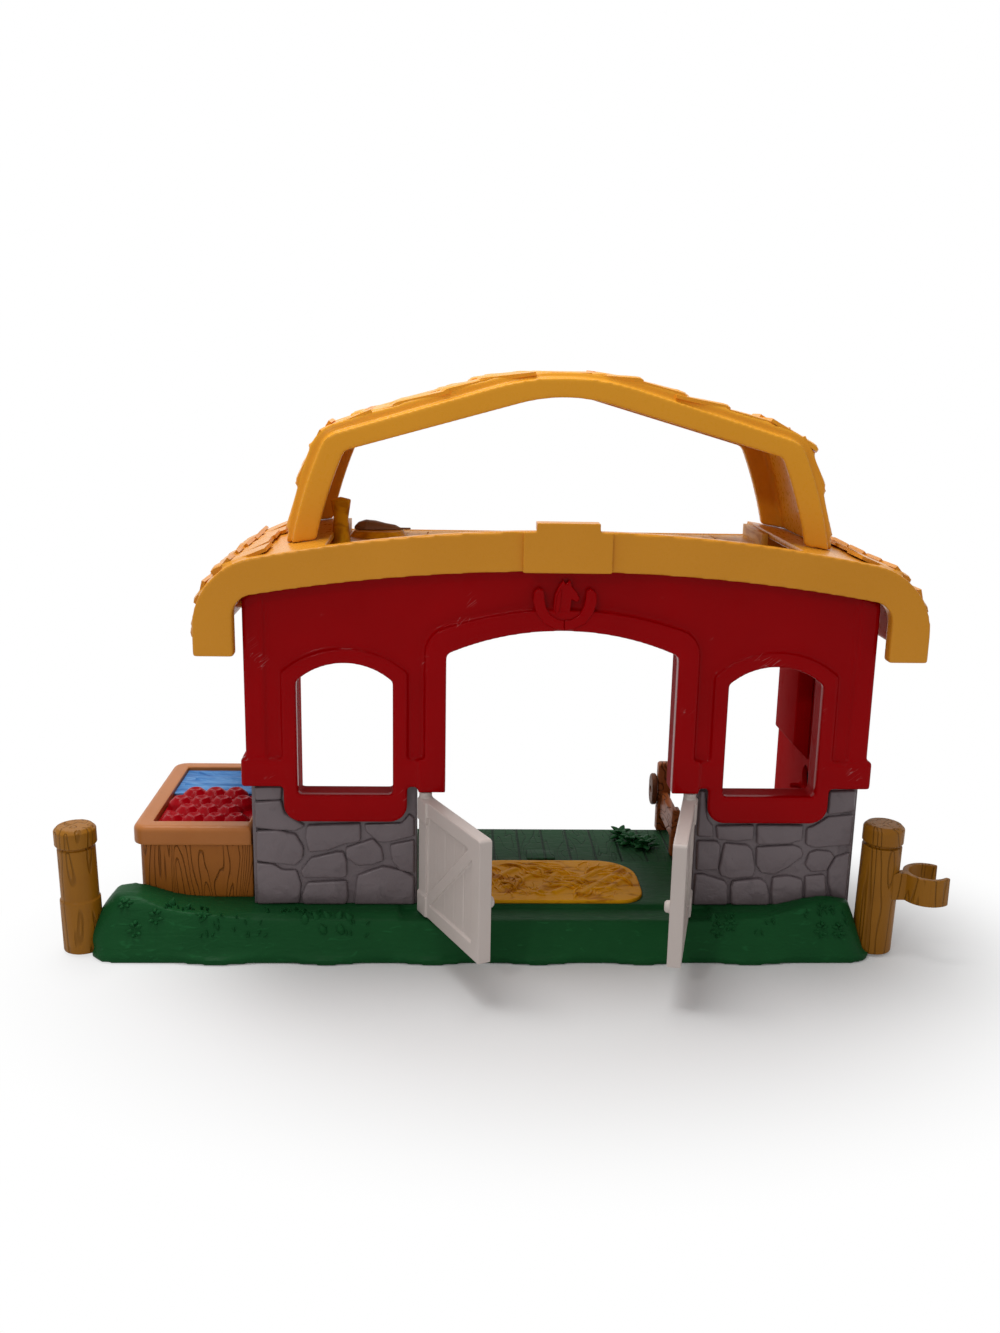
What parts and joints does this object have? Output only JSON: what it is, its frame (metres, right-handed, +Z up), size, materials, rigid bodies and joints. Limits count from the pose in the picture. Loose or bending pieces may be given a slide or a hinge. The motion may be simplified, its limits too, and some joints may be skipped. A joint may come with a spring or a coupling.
{
  "type": "toy barn with opening doors",
  "caption": "Toy barn play set with a thatched carrying arch, hayloft, stone and red walls, water trough, log posts with a clip, and two outward-swinging doors.",
  "frame": {"origin": "on the ground in the middle of the doorway, in the plane of the front wall", "axes": "+X to the right seen from the front, +Y from the front to the open back, +Z up"},
  "size_m": [0.4047, 0.169, 0.2615],
  "materials": {
    "green_plastic": "slightly glossy moulded plastic",
    "hay_plastic": "slightly glossy moulded plastic",
    "stone_plastic": "satin moulded plastic",
    "red_plastic": "glossy moulded plastic",
    "door_plastic": "satin moulded plastic",
    "straw_plastic": "slightly glossy moulded plastic",
    "loft_plastic": "satin moulded plastic",
    "cat_plastic": "satin moulded plastic",
    "trough_plastic": "satin moulded plastic with wood grain",
    "water_plastic": "glossy moulded plastic",
    "apple_plastic": "glossy moulded plastic",
    "log_plastic": "satin moulded plastic with wood grain",
    "stall_plastic": "satin moulded plastic",
    "rope_plastic": "satin moulded plastic",
    "screw_steel": "zinc-plated steel"
  },
  "bodies": {
    "barn": {"base_shell": "green_plastic", "hay_patch": "hay_plastic", "stone_wall_left": "stone_plastic", "stone_wall_right": "stone_plastic", "front_wall": "red_plastic", "side_wall_left": "red_plastic", "side_wall_right": "red_plastic", "horseshoe": "red_plastic", "roof_shell": "straw_plastic", "roof_handle": "straw_plastic", "name_plaque": "straw_plastic", "loft_floor": "loft_plastic", "loft_hay": "hay_plastic", "loft_cat": "cat_plastic", "loft_sheaf": "hay_plastic", "trough_box": "trough_plastic", "trough_rim": "trough_plastic", "water_panel": "water_plastic", "apple_pile": "apple_plastic", "left_post": "log_plastic", "right_post": "log_plastic", "fence_clip": "log_plastic", "stall_post": "stall_plastic", "stall_rail": "stall_plastic", "rope_coil": "rope_plastic", "feed_chute": "red_plastic", "base_screws": "screw_steel", "roof_screws": "screw_steel"},
    "left_door": {"left_door": "door_plastic"},
    "right_door": {"right_door": "door_plastic"}
  },
  "joints": [
    {"name": "left_door_hinge", "type": "hinge", "parent": "barn", "child": "left_door", "pos_m": [-0.06, -0.0005, 0.046], "axis": [0, 0, -1], "range_deg": [-64.2, 30.8]},
    {"name": "right_door_hinge", "type": "hinge", "parent": "barn", "child": "right_door", "pos_m": [0.06, -0.0005, 0.046], "axis": [0, 0, 1], "range_deg": [-75.8, 19.2]}
  ]
}
